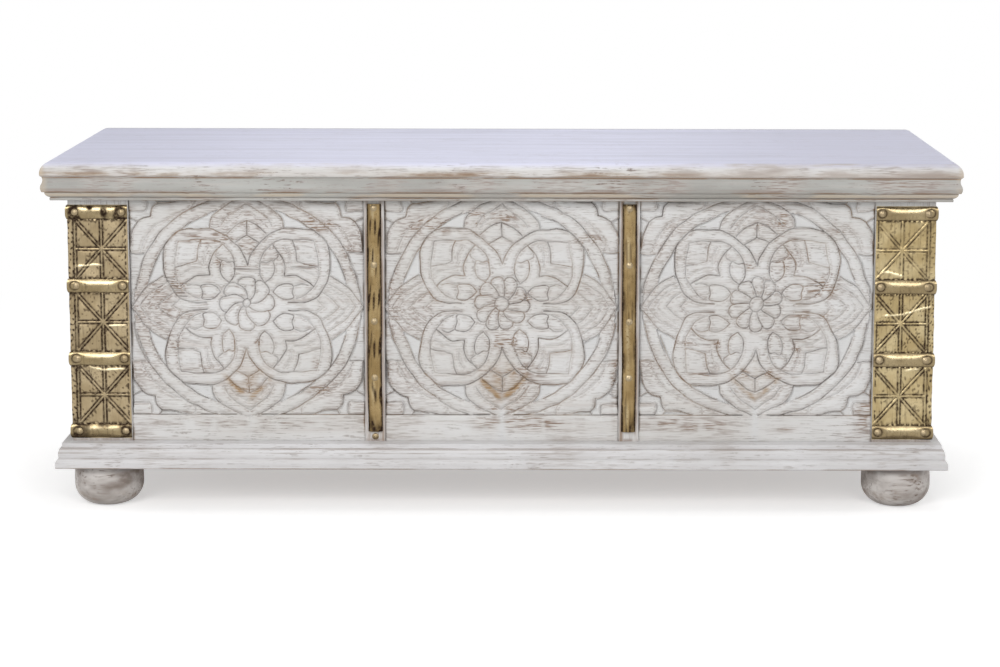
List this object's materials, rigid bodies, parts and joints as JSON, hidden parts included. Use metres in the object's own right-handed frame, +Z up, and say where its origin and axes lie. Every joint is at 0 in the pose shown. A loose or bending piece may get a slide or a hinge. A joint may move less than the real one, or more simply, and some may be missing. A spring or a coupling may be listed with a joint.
{
  "type": "wooden trunk",
  "caption": "Long low wooden storage trunk with a hinged moulded lid, carved front panels, brass-clad front corners, a moulded plinth and turned bun feet.",
  "frame": {"origin": "on the floor, under the middle of the trunk's box", "axes": "+X along the trunk to its right end, +Y to its back, +Z up; the carved front faces -Y"},
  "size_m": [1.16, 0.4276, 0.4525],
  "materials": {
    "whitewashed_wood": "brushed whitewash, rubbed through to the wood on edges and carving",
    "bare_wood": "bare sawn wood",
    "aged_brass": "aged sheet brass with dark patina in its creases",
    "hinge_steel": "plain dull steel"
  },
  "bodies": {
    "carcass": {"back_bottom_rail": "whitewashed_wood", "back_left_post": "whitewashed_wood", "back_panel": "whitewashed_wood", "back_right_post": "whitewashed_wood", "back_top_rail": "whitewashed_wood", "corner_nails": "aged_brass", "floor_panel": "bare_wood", "foot_back_left": "whitewashed_wood", "foot_back_right": "whitewashed_wood", "foot_front_left": "whitewashed_wood", "foot_front_right": "whitewashed_wood", "front_floor_rail": "bare_wood", "front_left_post": "whitewashed_wood", "front_panel_left": "whitewashed_wood", "front_panel_middle": "whitewashed_wood", "front_panel_right": "whitewashed_wood", "front_right_post": "whitewashed_wood", "front_stile_left": "whitewashed_wood", "front_stile_right": "whitewashed_wood", "front_top_rail": "bare_wood", "hinge_body_leaf_left": "hinge_steel", "hinge_body_leaf_right": "hinge_steel", "hinge_body_screws": "hinge_steel", "hinge_pin_left": "hinge_steel", "hinge_pin_right": "hinge_steel", "left_corner_plate_lower": "aged_brass", "left_corner_plate_middle": "aged_brass", "left_corner_plate_upper": "aged_brass", "left_corner_straps": "aged_brass", "plinth_back": "whitewashed_wood", "plinth_front": "whitewashed_wood", "plinth_left": "whitewashed_wood", "plinth_right": "whitewashed_wood", "right_corner_plate_lower": "aged_brass", "right_corner_plate_middle": "aged_brass", "right_corner_plate_upper": "aged_brass", "right_corner_straps": "aged_brass", "side_bottom_rail_left": "whitewashed_wood", "side_bottom_rail_right": "whitewashed_wood", "side_panel_left": "whitewashed_wood", "side_panel_right": "whitewashed_wood", "side_top_rail_left": "whitewashed_wood", "side_top_rail_right": "whitewashed_wood", "stay_stud": "hinge_steel", "stile_strip_left": "aged_brass", "stile_strip_right": "aged_brass", "strip_nails": "aged_brass"},
    "lid": {"hinge_lid_leaf_left": "hinge_steel", "hinge_lid_leaf_right": "hinge_steel", "lid_batten_left": "bare_wood", "lid_batten_right": "bare_wood", "lid_board_back": "whitewashed_wood", "lid_board_front": "whitewashed_wood", "lid_board_middle": "whitewashed_wood", "lid_lip_front": "whitewashed_wood", "lid_lip_left": "whitewashed_wood", "lid_lip_right": "whitewashed_wood", "lid_screws": "hinge_steel", "stay_bracket": "hinge_steel"},
    "stay": {"stay_arm": "hinge_steel"}
  },
  "joints": [
    {"name": "lid_hinge", "type": "hinge", "parent": "carcass", "child": "lid", "pos_m": [0, 0.19755, 0.434], "axis": [-1, 0, 0], "range_deg": [0, 100]},
    {"name": "stay_pivot", "type": "hinge", "parent": "lid", "child": "stay", "pos_m": [0.5223, 0.03197, 0.4196], "axis": [-1, 0, 0], "range_deg": [-50, 0]}
  ],
  "couplings": [
    {"joint": "stay_pivot", "follows": "lid_hinge", "ratio": -0.5}
  ]
}
